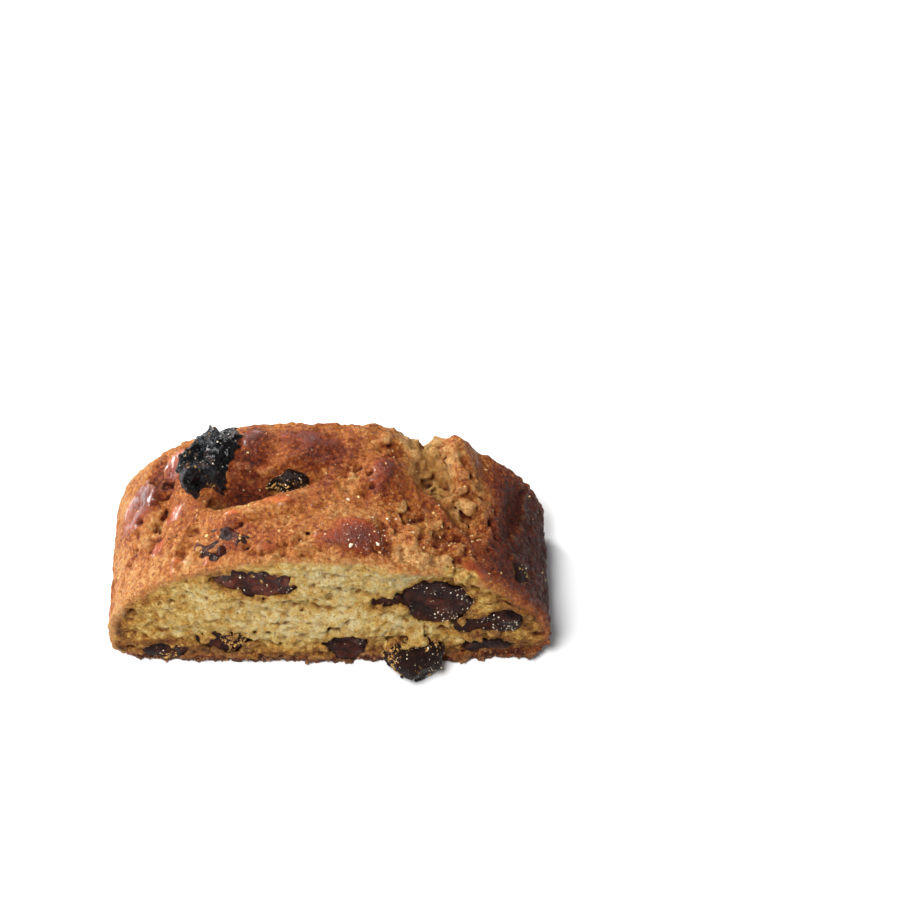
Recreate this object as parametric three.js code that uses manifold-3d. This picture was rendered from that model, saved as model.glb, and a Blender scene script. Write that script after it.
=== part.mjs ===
// A thick slice of a raisin biscotti log, lying on its flat base.
// Millimetres, +Z up, +X along the width of the slice, +Y from the front cut to the back cut.
// The origin is on the base, midway between the ends and between the two cuts.
import * as THREE from 'three';
import { mergeVertices } from 'three/addons/utils/BufferGeometryUtils.js';
import Module from 'manifold-3d';

// Driving dimensions
const width = 88;           // end to end, across the log
const thickness = 36;       // from cut to cut, along the log
const height = 33;          // base to the top of the dome
const sideLevel = 6;        // height at which the log is widest
const baseRounding = 8;     // how far the underside curls up at each end
const endTaper = 0.07;      // share of the thickness lost towards the ends
const domeLean = 2;         // how far the top of the dome stands left of the middle
const cutSkew = 0.03;       // sideways shift for each millimetre from front to back
const edgeSoftening = 0.7;  // worn edge between the crust and a cut
const socketGap = 0.3;      // clearance between a raisin and its socket
const cutSink = 0.4;        // how far a sliced raisin's flat lies behind the plane of its cut
const baseRaggedness = 0.6; // how far the lower edge of a cut wanders in and out

// Mesh density of the slice: spans along the width, the thickness and the height
const widthSpans = 48;
const thicknessSpans = 16;
const heightSpans = 10;

const halfWidth = width / 2;
const halfThickness = thickness / 2;
const columnLimit = 0.97;   // the outermost column stands at this share of the half width
const columnSweep = 0.85;   // share of a quarter turn through which the columns are spread
const bulgePower = 10;      // how sharply the end column rounds out to the full width

// Large forms of the crust, seen from above: centre, half sizes and turn in degrees, rise in mm
const crustForms = [
  { at: [-15.5, 0.9], size: [8, 3.8], turn: 0, rise: -4.9 },     // open split beside the scorched raisin
  { at: [-6, 3.0], size: [8, 3.4], turn: 16, rise: -3.9 },       // its shallower right half
  { at: [-12, -4.6], size: [12, 3.0], turn: 7, rise: 1.5 },      // front lip of the split
  { at: [-7, 10.5], size: [11, 7], turn: 0, rise: 1.5 },         // smooth rise behind the split
  { at: [8, 13.5], size: [8, 5], turn: 0, rise: 1.0 },
  { at: [-16.2, 11], size: [6.4, 9.4], turn: -12, rise: 2.6 },   // plate that laps the scorched raisin
  { at: [11.5, 4], size: [5.5, 8], turn: -14, rise: 1.8 },       // plate left of the crater
  { at: [17.8, 17.5], size: [4.6, 5], turn: 0, rise: -2.9 },     // crust broken away at the back edge
  { at: [21.5, 7.5], size: [5.2, 7], turn: 0, rise: -4.4 },      // crater that runs forward from it
  { at: [26.5, -1.5], size: [8, 3.6], turn: -52, rise: -2.8 },   // furrow out of the crater
  { at: [27, 12.5], size: [4.5, 9], turn: 8, rise: 3.5 },        // ridge on the crater's right
  { at: [17.5, -5.5], size: [4.5, 3.4], turn: 0, rise: -2.0 },   // pits in the rough front right
  { at: [24, -8.5], size: [4, 2.6], turn: 20, rise: -1.8 },
  { at: [6, -10.5], size: [9.5, 6], turn: 0, rise: 1.1 },        // glazed front plate
  { at: [-32.5, 0], size: [15, 2.4], turn: 84, rise: -1.7 },     // cracks down the left flank
  { at: [-26, -9], size: [8, 2.2], turn: 72, rise: -1.4 },
  { at: [-38, 4], size: [7, 9], turn: 0, rise: 0.8 },            // glazed plate on the left flank
  { at: [37, 6], size: [10, 2.4], turn: 80, rise: -1.6 },        // crack down the right flank
];

// Forms of the two cuts, seen square on: centre, half sizes and turn in degrees, rise in mm
const frontForms = [
  { at: [21, 20], size: [10, 9], turn: 0, rise: -1.5 },    // crumb sunk round the big raisin
  { at: [33, 12], size: [8, 4.5], turn: 10, rise: -1.1 },
  { at: [6, 12.5], size: [14, 5.5], turn: -4, rise: 1.2 }, // full crumb in the middle
  { at: [-3, 18], size: [8, 2.2], turn: -12, rise: -1.5 }, // crease across the crumb
  { at: [-21, 14], size: [11, 6], turn: 0, rise: 0.9 },
  { at: [-38, 11], size: [5, 6], turn: 0, rise: -0.8 },
  { at: [33, 4], size: [9, 4.5], turn: 0, rise: -1.2 },
  { at: [16, 29.5], size: [9, 2.8], turn: -6, rise: 1.2 }, // crust edge that overhangs the cut
];
const backForms = [
  { at: [-18, 11], size: [13, 7], turn: 10, rise: 1.2 },
  { at: [8, 16], size: [11, 2.6], turn: 8, rise: -1.6 },
  { at: [25, 12], size: [10, 6], turn: 0, rise: 1.0 },
  { at: [-34, 10], size: [8, 6], turn: 0, rise: -1.1 },
  { at: [0, 26], size: [14, 5], turn: -6, rise: -0.9 },
];

// Lumps all over the slice: spacing and rise of a coarse and a fine set, and their share on the cuts
const coarseLump = { spacing: 8, rise: 0.55 };
const fineLump = { spacing: 3.6, rise: 0.35 };
const lumpShareOnCuts = 0.8;

// Raisins: centre, half sizes, turns about X, Y and Z in degrees, the cut that sliced the raisin,
// and the fineness of its mesh where that isn't the usual one
const raisins = [
  { name: 'scorched', at: [-22.6, 9.6, 29.8], size: [5.8, 9, 5.8], turn: [-4, -18, -19], detail: 3 },
  { name: 'in_split', at: [-6, 3.4, 29.9], size: [4.6, 2.7, 2.6], turn: [0, -8, 24] },
  { name: 'under_crust', at: [-19.4, -9.6, 28.9], size: [6.6, 4, 2.8], turn: [0, -14, 24] },
  { name: 'cut_upper', at: [-13.8, -17.2, 25], size: [8, 4, 3.9], turn: [0, 8, 0], cut: 'front' },
  { name: 'cut_large', at: [22, -16, 18.8], size: [7, 6, 6.4], turn: [0, 20, 0], cut: 'front', detail: 3 },
  { name: 'cut_tail', at: [11.8, -16.6, 19], size: [3, 3.2, 1.6], turn: [0, -6, 0], cut: 'front', detail: 1 },
  { name: 'cut_right', at: [32.2, -15.6, 11.9], size: [6.6, 4.6, 3], turn: [0, -10, 0], cut: 'front' },
  { name: 'base_front', at: [17.6, -18.8, 4.9], size: [6.4, 5.1, 4.5], turn: [12, 8, 0], detail: 3 },
  { name: 'base_middle', at: [3.9, -15.6, 5.4], size: [4.6, 4.4, 4.5], turn: [0, 12, 0], cut: 'front' },
  { name: 'base_left', at: [-20, -15.4, 6.2], size: [5.4, 4.5, 3.4], turn: [0, 6, 0], cut: 'front' },
  { name: 'base_corner', at: [-32.6, -14.4, 3.8], size: [5.1, 4, 2.4], turn: [0, 6, 0], cut: 'front' },
  { name: 'base_right', at: [32.2, -14.6, 4.6], size: [5.5, 4, 2], turn: [0, -6, 0], cut: 'front' },
  { name: 'right_flank', at: [37.6, -8.6, 17.8], size: [2.8, 3.6, 3.4], turn: [0, 0, 0], detail: 1 },
  { name: 'back_upper', at: [-9, 15.4, 22.5], size: [7, 5, 4.4], turn: [0, 14, 0], cut: 'back' },
  { name: 'back_left', at: [-30, 15.2, 12], size: [5.4, 4.6, 3.8], turn: [0, -20, 0], cut: 'back' },
  { name: 'back_right', at: [24, 15.8, 19.5], size: [5.8, 4.8, 3.2], turn: [0, 24, 0], cut: 'back' },
  { name: 'back_base', at: [9, 16.4, 5.4], size: [6.2, 5.2, 3.8], turn: [0, 0, 0], cut: 'back' },
];
const raisinDetail = 2;
const foldCount = 4;        // crossing sets of folds on a raisin
const foldDepth = 0.24;     // share of a raisin's radius
const foldRate = 3.2;       // how closely the folds follow each other
const foldSwell = 1.04;     // the skin between the folds stands out to this share of the radius

const crumbColor = '#d8b878';
const raisinColor = '#33160f';
const scorchedColor = '#17120f';
const crumbRoughness = 0.8;
const raisinRoughness = 0.45;

// Repeatable noise, a smooth field of values from -1 to 1
function latticeValue(i, j, k) {
  const s = Math.sin(i * 127.1 + j * 311.7 + k * 74.7) * 43758.5453;
  return (s - Math.floor(s)) * 2 - 1;
}

function noise(x, y, z) {
  const i = Math.floor(x);
  const j = Math.floor(y);
  const k = Math.floor(z);
  const ease = (t) => t * t * (3 - 2 * t);
  const u = ease(x - i);
  const v = ease(y - j);
  const w = ease(z - k);
  const { lerp } = THREE.MathUtils;
  const row = (b, c) => lerp(latticeValue(i, j + b, k + c), latticeValue(i + 1, j + b, k + c), u);
  return lerp(lerp(row(0, 0), row(1, 0), v), lerp(row(0, 1), row(1, 1), v), w);
}

// Outline of the log: height of the dome and of the underside above the base plane
function domeHeight(x) {
  const u = x / halfWidth;
  const leant = u + domeLean / halfWidth * (1 - u * u);
  return sideLevel + (height - sideLevel) * Math.sqrt(Math.max(0, 1 - leant * leant));
}

function undersideHeight(x) {
  const curl = Math.max(0, (Math.abs(x) - (halfWidth - baseRounding)) / baseRounding);
  return sideLevel * (1 - Math.sqrt(Math.max(0, 1 - curl * curl)));
}

// Sum of soft-edged elliptical forms at a point of a face
function formRise(forms, a, b) {
  let rise = 0;
  for (const form of forms) {
    const turn = THREE.MathUtils.degToRad(form.turn);
    const da = a - form.at[0];
    const db = b - form.at[1];
    const along = (da * Math.cos(turn) + db * Math.sin(turn)) / form.size[0];
    const across = (db * Math.cos(turn) - da * Math.sin(turn)) / form.size[1];
    const reach = along * along + across * across;
    if (reach < 1) rise += form.rise * (1 - reach) ** 2 * (1 + reach);
  }
  return rise;
}

// A point of the unit block, s and t from -1 to 1 and r from 0 to 1, taken to the plain slice
function placeInSlice(s, t, r) {
  const sweep = Math.PI / 2 * columnSweep;
  const column = halfWidth * columnLimit * Math.sin(s * sweep) / Math.sin(sweep);
  const endShare = Math.sign(s) * Math.abs(s) ** bulgePower;
  const bulge = endShare * halfWidth * (1 - columnLimit) * (1 - (2 * r - 1) ** 2);
  const low = undersideHeight(column);
  const high = domeHeight(column);
  const taper = 1 - endTaper * (column / halfWidth) ** 2;
  const y = t * halfThickness * taper;
  return new THREE.Vector3(column + bulge - cutSkew * y, y, low + (high - low) * r);
}

// How far the surface stands out from the plain slice, by the face that the point lies on
function lumpRise(point, lump) {
  return lump.rise * noise(point.x / lump.spacing, point.y / lump.spacing, point.z / lump.spacing);
}

function reliefAt(point, face) {
  if (face.base) return 0;
  const lumps = lumpRise(point, coarseLump) + lumpRise(point, fineLump);
  if (face.top || !(face.front || face.back)) return lumps + formRise(crustForms, point.x, point.y);
  return lumps * lumpShareOnCuts + formRise(face.front ? frontForms : backForms, point.x, point.z);
}

function closedGeometry(geometry) {
  geometry.deleteAttribute('normal');
  geometry.deleteAttribute('uv');
  return mergeVertices(geometry, 1e-4);
}

function makeSlice() {
  const geometry = closedGeometry(new THREE.BoxGeometry(2, 2, 1, widthSpans, thicknessSpans, heightSpans));
  const position = geometry.getAttribute('position');
  const near = 1e-6;
  const faces = [];
  for (let n = 0; n < position.count; n += 1) {
    const s = position.getX(n);
    const t = position.getY(n);
    const r = position.getZ(n) + 0.5;
    const face = { front: t < -1 + near, back: t > 1 - near, top: r > 1 - near, base: r < near };
    faces.push(face);
    const point = placeInSlice(s, t, r);
    position.setXYZ(n, point.x, point.y, point.z);
  }
  geometry.computeVertexNormals();
  const normal = geometry.getAttribute('normal');
  const point = new THREE.Vector3();
  const out = new THREE.Vector3();
  for (let n = 0; n < position.count; n += 1) {
    const face = faces[n];
    point.fromBufferAttribute(position, n);
    out.fromBufferAttribute(normal, n);
    const onCut = face.front || face.back;
    const worn = face.top && onCut ? edgeSoftening : 0;
    point.addScaledVector(out, reliefAt(point, face) - worn);
    if (face.base && onCut) {
      point.y += baseRaggedness * noise(point.x / fineLump.spacing, face.front ? 3 : 9, 0);
    }
    position.setXYZ(n, point.x, point.y, Math.max(0, point.z));
  }
  geometry.deleteAttribute('normal');
  return geometry;
}

// A wrinkled raisin about its own centre, grown outwards by a clearance
function makeRaisin(raisin, order, clearance) {
  const geometry = closedGeometry(new THREE.IcosahedronGeometry(1, raisin.detail ?? raisinDetail));
  const position = geometry.getAttribute('position');
  const folds = [];
  for (let n = 0; n < foldCount; n += 1) {
    const pick = (k) => latticeValue(order + 1, n + 1, k);
    const across = new THREE.Vector3(pick(1), pick(2), pick(3)).normalize();
    folds.push({ across, phase: pick(4) * Math.PI });
  }
  const grow = new THREE.Vector3(...raisin.size).addScalar(clearance);
  const way = new THREE.Vector3();
  for (let n = 0; n < position.count; n += 1) {
    way.fromBufferAttribute(position, n).normalize();
    let crease = 0;
    for (const fold of folds) {
      crease = Math.max(crease, 1 - Math.abs(Math.sin(foldRate * way.dot(fold.across) + fold.phase)));
    }
    way.multiplyScalar(foldSwell - foldDepth * crease ** 2).multiply(grow);
    position.setXYZ(n, way.x, way.y, way.z);
  }
  const turn = new THREE.Euler(...raisin.turn.map(THREE.MathUtils.degToRad));
  return geometry.applyQuaternion(new THREE.Quaternion().setFromEuler(turn)).translate(...raisin.at);
}

// Booleans
const wasm = await Module();
wasm.setup();

function toSolid(geometry) {
  const triVerts = new Uint32Array(geometry.index.array);
  const vertProperties = new Float32Array(geometry.getAttribute('position').array);
  return new wasm.Manifold(new wasm.Mesh({ numProp: 3, vertProperties, triVerts }));
}

function toMesh(name, solid, color, roughness) {
  const made = solid.getMesh();
  const geometry = new THREE.BufferGeometry();
  geometry.setAttribute('position', new THREE.BufferAttribute(new Float32Array(made.vertProperties), 3));
  geometry.setIndex(new THREE.BufferAttribute(new Uint32Array(made.triVerts), 1));
  geometry.computeVertexNormals();
  const mesh = new THREE.Mesh(geometry, new THREE.MeshStandardMaterial({ color, roughness, metalness: 0 }));
  mesh.name = name;
  return mesh;
}

// The block of space between the planes of the two cuts, in which a sliced raisin stays
function spaceBetweenCuts() {
  const block = new THREE.BoxGeometry(width * 2, thickness - cutSink * 2, height * 3);
  return toSolid(closedGeometry(block));
}

function largestPiece(solid) {
  return solid.decompose().reduce((kept, piece) => (piece.volume() > kept.volume() ? piece : kept));
}

const slice = new THREE.Group();
const between = spaceBetweenCuts();
let crumb = toSolid(makeSlice());
raisins.forEach((raisin, order) => {
  crumb = crumb.subtract(toSolid(makeRaisin(raisin, order, socketGap)));
  let solid = toSolid(makeRaisin(raisin, order, 0));
  if (raisin.cut) solid = solid.intersect(between);
  const color = raisin.name === 'scorched' ? scorchedColor : raisinColor;
  slice.add(toMesh(`raisin_${raisin.name}`, largestPiece(solid), color, raisinRoughness));
});
slice.add(toMesh('biscotto', largestPiece(crumb), crumbColor, crumbRoughness));

export default slice;
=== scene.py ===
# Raisin biscotto: a thick slice of a baked log that lies on its flat base
import itertools
import math
import bpy
import numpy as np
import openvdb
from mathutils import Euler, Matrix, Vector


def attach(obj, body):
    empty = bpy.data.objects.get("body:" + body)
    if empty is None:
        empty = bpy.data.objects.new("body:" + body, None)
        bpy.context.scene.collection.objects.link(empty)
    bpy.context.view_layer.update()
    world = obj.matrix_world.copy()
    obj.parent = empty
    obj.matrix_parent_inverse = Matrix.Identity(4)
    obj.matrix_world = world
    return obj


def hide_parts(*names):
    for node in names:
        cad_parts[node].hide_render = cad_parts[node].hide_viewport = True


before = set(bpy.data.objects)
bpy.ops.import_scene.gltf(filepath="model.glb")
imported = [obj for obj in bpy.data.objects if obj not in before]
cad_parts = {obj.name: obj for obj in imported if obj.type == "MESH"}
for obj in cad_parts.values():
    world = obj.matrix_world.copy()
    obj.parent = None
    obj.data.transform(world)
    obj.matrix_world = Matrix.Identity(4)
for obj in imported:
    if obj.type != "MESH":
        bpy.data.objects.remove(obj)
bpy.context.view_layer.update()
mm = 0.001

# The slice. Lengths are millimetres here and become metres when a mesh is made.
loaf = {
    "width": 88.0,
    "thickness": 36.0,
    "height": 33.0,
    "sideLevel": 6.0,       # height at which the log is widest
    "baseRounding": 8.0,    # how far the underside curls up at each end
    "endTaper": 0.07,       # share of the thickness lost towards the ends
    "domeLean": 2.0,        # the top of the dome stands this far left of the middle
    "cutSkew": 0.03,        # sideways shift for each millimetre from front to back
    "edgeWear": 0.9,        # rounding between the crust and a cut
    "arcScale": 40.0,       # length along the crust for each radian round the dome
    "margin": 3.0,          # room round the slice in the volume grid
    "headroom": 4.0,
    "pitch": 0.44,          # spacing of the volume grid
    "adaptivity": 0.02,     # merges the faces of flat stretches
}
halfWidth = loaf["width"] / 2
halfThickness = loaf["thickness"] / 2
domeRise = loaf["height"] - loaf["sideLevel"]


# Volume grid and fields
class VolumeGrid:
    def __init__(self, low, high, pitch):
        self.pitch = pitch
        self.low = np.array(low, dtype=np.float32)
        self.counts = [int(math.ceil((b - a) / pitch)) + 1 for a, b in zip(low, high)]
        self.axes = [low[n] + pitch * np.arange(self.counts[n], dtype=np.float32) for n in range(3)]
        self.x = self.axes[0][:, None, None]
        self.y = self.axes[1][None, :, None]
        self.z = self.axes[2][None, None, :]

    def window(self, centre, reach):
        spans = []
        for axis, middle in zip(self.axes, centre):
            first, last = np.searchsorted(axis, (middle - reach, middle + reach))
            spans.append(slice(first, last))
        return tuple(spans)

    def places(self, window):
        return (self.x[window[0]], self.y[:, window[1]], self.z[:, :, window[2]])

    def sample(self, field, points):
        place = (points - self.low) / self.pitch
        limit = np.array(field.shape) - 1.001  # so that a point's far corner is still inside
        place = np.clip(place, 0, limit)
        cell = place.astype(int)
        part = place - cell
        total = np.zeros(len(points), dtype=np.float32)
        for corner in range(8):
            step = np.array([corner & 1, corner >> 1 & 1, corner >> 2 & 1])
            share = np.prod(np.where(step, part, 1 - part), axis=1)
            i, j, k = (cell + step).T
            total += share * field[i, j, k]
        return total


splineGain = 2.2  # splines flatten the lattice's values, and this brings them back to about -1 to 1


def smoothNoise(grid, spacing, seed):
    # random lattice values joined by cubic B-splines, one axis at a time, about -1 to 1
    rng = np.random.default_rng(seed)
    spacings = spacing if isinstance(spacing, tuple) else (spacing,) * 3
    weights = []
    for axis, step in zip(grid.axes, spacings):
        place = (axis - axis[0]) / step
        cell = np.floor(place).astype(int)
        t = place - cell
        table = np.zeros((len(axis), cell[-1] + 4), dtype=np.float32)
        rows = np.arange(len(axis))
        table[rows, cell] = (1 - t) ** 3 / 6
        table[rows, cell + 1] = (3 * t ** 3 - 6 * t ** 2 + 4) / 6
        table[rows, cell + 2] = (-3 * t ** 3 + 3 * t ** 2 + 3 * t + 1) / 6
        table[rows, cell + 3] = t ** 3 / 6
        weights.append(table)
    lattice = rng.uniform(-1, 1, [w.shape[1] for w in weights]).astype(np.float32)
    value = np.tensordot(weights[0], lattice, (1, 0))
    value = np.tensordot(value, weights[1], (1, 1)).transpose(0, 2, 1)
    value = np.tensordot(value, weights[2], (2, 1))
    return value * splineGain


def cellNoise(grid, spacing, seed):
    # round grains packed side by side: 1 on a crown, near 0 in the seams
    rng = np.random.default_rng(seed)
    cells, parts = [], []
    for axis in grid.axes:
        place = (axis - axis[0]) / spacing
        cells.append(np.floor(place).astype(int))
        parts.append((place - cells[-1]).astype(np.float32))
    centres = rng.uniform(0, 1, [3] + [cell[-1] + 3 for cell in cells]).astype(np.float32)
    nearest = np.full(grid.counts, 9.0, dtype=np.float32)
    for i, j, k in itertools.product((-1, 0, 1), repeat=3):
        near = np.ix_(cells[0] + i + 1, cells[1] + j + 1, cells[2] + k + 1)
        dx = centres[0][near] + (i - parts[0])[:, None, None]
        dy = centres[1][near] + (j - parts[1])[None, :, None]
        dz = centres[2][near] + (k - parts[2])[None, None, :]
        nearest = np.minimum(nearest, dx * dx + dy * dy + dz * dz)
    return 1 - np.sqrt(nearest)


# The lattice of placeNoise stands askew, so that none of its planes shows as an upright or level line
latticeTurn = ((0.80, 0.36, 0.48), (-0.60, 0.48, 0.64), (0.0, -0.80, 0.60))
latticeCount = 24  # values along each axis, after which the noise repeats


def placeNoise(x, y, z, spacing, seed):
    # the same smooth noise whatever grid asks for it, -1 to 1
    rng = np.random.default_rng(seed)
    lattice = rng.uniform(-1, 1, (latticeCount,) * 3).astype(np.float32)
    cells, parts = [], []
    for along in latticeTurn:
        place = (along[0] * x + along[1] * y + along[2] * z) / spacing
        cell = np.floor(place).astype(int)
        part = place - cell
        cells.append(cell)
        parts.append(part * part * (3 - 2 * part))
    total = 0
    for corner in itertools.product((0, 1), repeat=3):
        share = 1
        for step, part in zip(corner, parts):
            share = share * (part if step else 1 - part)
        i, j, k = ((cell + step) % latticeCount for cell, step in zip(cells, corner))
        total = total + share * lattice[i, j, k]
    return total


def layNoise(a, b, spacingA, spacingB, seed):
    # smooth noise laid on two coordinates of a surface, -1 to 1
    return placeNoise(a, b * spacingA / spacingB, np.zeros((1, 1, 1)), spacingA, seed)


def smoothStep(low, high, value):
    t = np.clip((value - low) / (high - low), 0, 1)
    return t * t * (3 - 2 * t)


def smoothMax(a, b, reach):
    blend = np.clip(0.5 + 0.5 * (a - b) / reach, 0, 1)
    return b + (a - b) * blend + reach * blend * (1 - blend)


def formRise(forms, a, b):
    # sum of soft-edged elliptical forms
    rise = np.zeros(np.broadcast(a, b).shape, dtype=np.float32)
    for ca, cb, sizeA, sizeB, turn, height in forms:
        angle = math.radians(turn)
        along = ((a - ca) * math.cos(angle) + (b - cb) * math.sin(angle)) / sizeA
        across = ((b - cb) * math.cos(angle) - (a - ca) * math.sin(angle)) / sizeB
        reach = np.clip(along ** 2 + across ** 2, 0, 1)
        rise += height * (1 - reach) ** 2 * (1 + reach)
    return rise


def ellipseDistance(a, b, radiusA, radiusB):
    # about the distance to an ellipse, with no division by nothing at its centre
    nearness = np.sqrt((a / radiusA) ** 2 + (b / radiusB) ** 2)
    slope = np.sqrt((a / radiusA ** 2) ** 2 + (b / radiusB ** 2) ** 2)
    return nearness * (nearness - 1) / np.maximum(slope, 1e-4)


def ellipsoidDistance(x, y, z, shape):
    turn = Euler([math.radians(a) for a in shape["turn"]]).to_matrix()
    dx, dy, dz = x - shape["at"][0], y - shape["at"][1], z - shape["at"][2]
    near = 0
    slope = 0
    for n, half in enumerate(shape["size"]):
        along = dx * turn[0][n] + dy * turn[1][n] + dz * turn[2][n]
        near = near + (along / half) ** 2
        slope = slope + (along / half ** 2) ** 2
    near = np.sqrt(near)
    return near * (near - 1) / np.maximum(np.sqrt(slope), 1e-3)


def boxBlur(field, reach):
    # mean over a cube of cells, reach to each side
    span = 2 * reach + 1
    for axis in range(3):
        margin = [(0, 0)] * 3
        margin[axis] = (reach + 1, reach)
        total = np.cumsum(np.pad(field, margin, mode="edge"), axis=axis, dtype=np.float64)
        high = np.take(total, range(span, total.shape[axis]), axis=axis)
        low = np.take(total, range(0, total.shape[axis] - span), axis=axis)
        field = ((high - low) / span).astype(np.float32)
    return field


def largestShell(points, triangles, quads):
    # drops loose scraps: labels spread along the faces until each shell has one
    label = np.arange(len(points))
    while True:
        spread = label.copy()
        for faces in (triangles, quads):
            if len(faces):
                np.minimum.at(spread, faces.ravel(), np.repeat(label[faces].min(axis=1), faces.shape[1]))
        spread = spread[spread]
        if np.array_equal(spread, label):
            break
        label = spread
    names, sizes = np.unique(label, return_counts=True)
    kept = label == names[sizes.argmax()]
    order = np.cumsum(kept) - 1
    faces = []
    for group in (triangles, quads):
        if len(group):
            faces += order[group[kept[group[:, 0]]]].tolist()
    return points[kept], faces


def surfaceOf(grid, field, adaptivity=0.0):
    band = float(grid.pitch * 4)  # distances beyond this aren't needed
    volume = openvdb.FloatGrid(band)
    volume.copyFromArray(np.clip(field, -band, band))
    points, triangles, quads = volume.convertToPolygons(isovalue=0.0, adaptivity=adaptivity)
    points = np.array(points) * grid.pitch + grid.low
    return largestShell(points, np.array(triangles, dtype=int), np.array(quads, dtype=int))


def meshPiece(name, points, faces, marks, material):
    mesh = bpy.data.meshes.new(name)
    mesh.from_pydata((points * mm).tolist(), [], faces)
    for markName, values in marks.items():
        mark = mesh.attributes.new(markName, "FLOAT", "POINT")
        mark.data.foreach_set("value", values.astype(np.float32))
    mesh.polygons.foreach_set("use_smooth", [True] * len(mesh.polygons))
    mesh.update()
    mesh.materials.append(material)
    piece = bpy.data.objects.new(name, mesh)
    bpy.context.collection.objects.link(piece)
    return piece


# Raisins: centre, half sizes, turns about X, Y and Z in degrees, depth of the folds, the cut that sliced
# it (-1 front, 1 back), how crowded it is with crumbs (dust) and with pale grains (specks), how red its
# flesh is, how much an uncut one looks like flesh (wet), and whether the dough has a socket for it
usualRaisin = dict(cut=0, dust=0.1, specks=0.1, red=0.4, wet=0.0, socket=True, look="raisin")
raisins = {
    "raisin_scorched": dict(at=(-22.6, 9.6, 29.8), size=(5.4, 8.4, 5.8), turn=(-4, -18, -19), fold=3.4,
                            dust=0.3, specks=0.3, socket=False, look="scorched"),
    "raisin_in_split": dict(at=(-7.0, 3.0, 29.6), size=(4.0, 2.4, 2.5), turn=(0, -8, 24), fold=2.6, dust=1.0,
                            specks=0.3, socket=False),
    "raisin_under_crust": dict(at=(-19.0, -10.8, 28.2), size=(7.0, 4.4, 2.8), turn=(0, -14, 24), fold=1.6,
                               dust=0.4, specks=0.5, wet=0.8, socket=False),
    "raisin_cut_upper": dict(at=(-13.8, -17.2, 25.0), size=(8.3, 4.2, 4.1), turn=(0, 8, 0), fold=0.6, cut=-1,
                             dust=0.1, specks=0.25, red=1.0),
    "raisin_cut_large": dict(at=(22.0, -16.0, 18.8), size=(7.0, 6.0, 6.4), turn=(0, 20, 0), fold=0.9, cut=-1,
                             dust=0.12, specks=1.0, red=0.5),
    "raisin_cut_tail": dict(at=(11.8, -16.6, 19.0), size=(3.2, 3.2, 1.7), turn=(0, -6, 0), fold=0.4, cut=-1,
                            dust=0.2, specks=0.6),
    "raisin_cut_right": dict(at=(32.2, -15.6, 11.9), size=(6.8, 4.6, 3.2), turn=(0, -10, 0), fold=0.8, cut=-1,
                             dust=0.3, specks=0.7),
    "raisin_base_front": dict(at=(17.6, -19.0, 4.4), size=(6.2, 5.4, 4.3), turn=(12, 10, 0), fold=1.8,
                              dust=1.2, specks=0.4),
    "raisin_base_middle": dict(at=(3.9, -15.6, 5.7), size=(4.8, 4.4, 5.2), turn=(0, 12, 0), fold=0.7, cut=-1,
                               dust=0.3, specks=0.3),
    "raisin_base_left": dict(at=(-19.8, -15.4, 6.2), size=(5.4, 4.4, 3.4), turn=(0, 6, 0), fold=0.9, cut=-1,
                             dust=1.2, specks=0.8),
    "raisin_base_corner": dict(at=(-32.6, -14.4, 3.3), size=(5.8, 4.2, 2.7), turn=(0, 4, 0), fold=0.8, cut=-1,
                               dust=1.3, specks=0.4),
    "raisin_base_right": dict(at=(32.2, -14.6, 4.6), size=(5.6, 4.0, 2.1), turn=(0, -6, 0), fold=0.5, cut=-1,
                              dust=0.2),
    "raisin_right_flank": dict(at=(37.4, -9.6, 17.6), size=(2.4, 2.9, 2.7), turn=(0, 0, 0), fold=0.7,
                               dust=0.5),
    "raisin_back_upper": dict(at=(-9.0, 15.4, 22.5), size=(7.0, 5.0, 4.4), turn=(0, 14, 0), fold=0.8, cut=1,
                              dust=0.1, specks=0.8),
    "raisin_back_left": dict(at=(-30.0, 15.2, 12.0), size=(5.4, 4.6, 3.8), turn=(0, -20, 0), fold=0.7, cut=1,
                             dust=0.2, specks=0.3),
    "raisin_back_right": dict(at=(24.0, 15.8, 19.5), size=(5.8, 4.8, 3.2), turn=(0, 24, 0), fold=0.7, cut=1,
                              dust=0.2, specks=0.6),
    "raisin_back_base": dict(at=(9.0, 16.4, 5.4), size=(6.2, 5.2, 3.8), turn=(0, 0, 0), fold=0.8, cut=1,
                             dust=1.0, specks=0.4),
}
raisinMake = {
    "firstSeed": 100,
    "seedStep": 10,
    "pitch": 0.24,
    "margin": 1.8,       # room round a raisin in its volume grid
    "warp": 1.2,         # how far the outline wanders from an ellipsoid
    "warpSpacing": 4.2,
    "ripple": 0.55,      # the same at a smaller spacing
    "rippleSpacing": 1.9,
    "fullWander": 3.0,   # a raisin whose least half size is smaller wanders less
    "foldSpacing": 3.0,
    "foldLevel": 0.72,   # folds above this level stand out, the rest lies back
    "creaseSpacing": 1.3,
    "creaseShare": 0.4,  # depth of the creases as a share of the folds
    "fineSpacing": 0.8,
    "fineShare": 0.14,
    "cutSink": 0.4,      # a sliced raisin's flat lies this far behind the plane of its cut
    "flatRelief": 0.3,
    "flatSpacing": 3.0,
    "dustSpacing": 2.2,
    "speckSpacing": 2.6,
    "hollowReach": 3,    # grid cells over which the skin's hollows are felt
}
for order, (name, facts) in enumerate(raisins.items()):
    raisins[name] = {**usualRaisin, **facts, "seed": raisinMake["firstSeed"] + raisinMake["seedStep"] * order}


def raisinOutline(x, y, z, raisin):
    share = min(1.0, min(raisin["size"]) / raisinMake["fullWander"])
    wander = raisinMake["warp"] * placeNoise(x, y, z, raisinMake["warpSpacing"], raisin["seed"])
    ripple = placeNoise(x, y, z, raisinMake["rippleSpacing"], raisin["seed"] + 1)
    wander = wander + raisinMake["ripple"] * ripple
    return ellipsoidDistance(x, y, z, raisin) + share * wander


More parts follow.
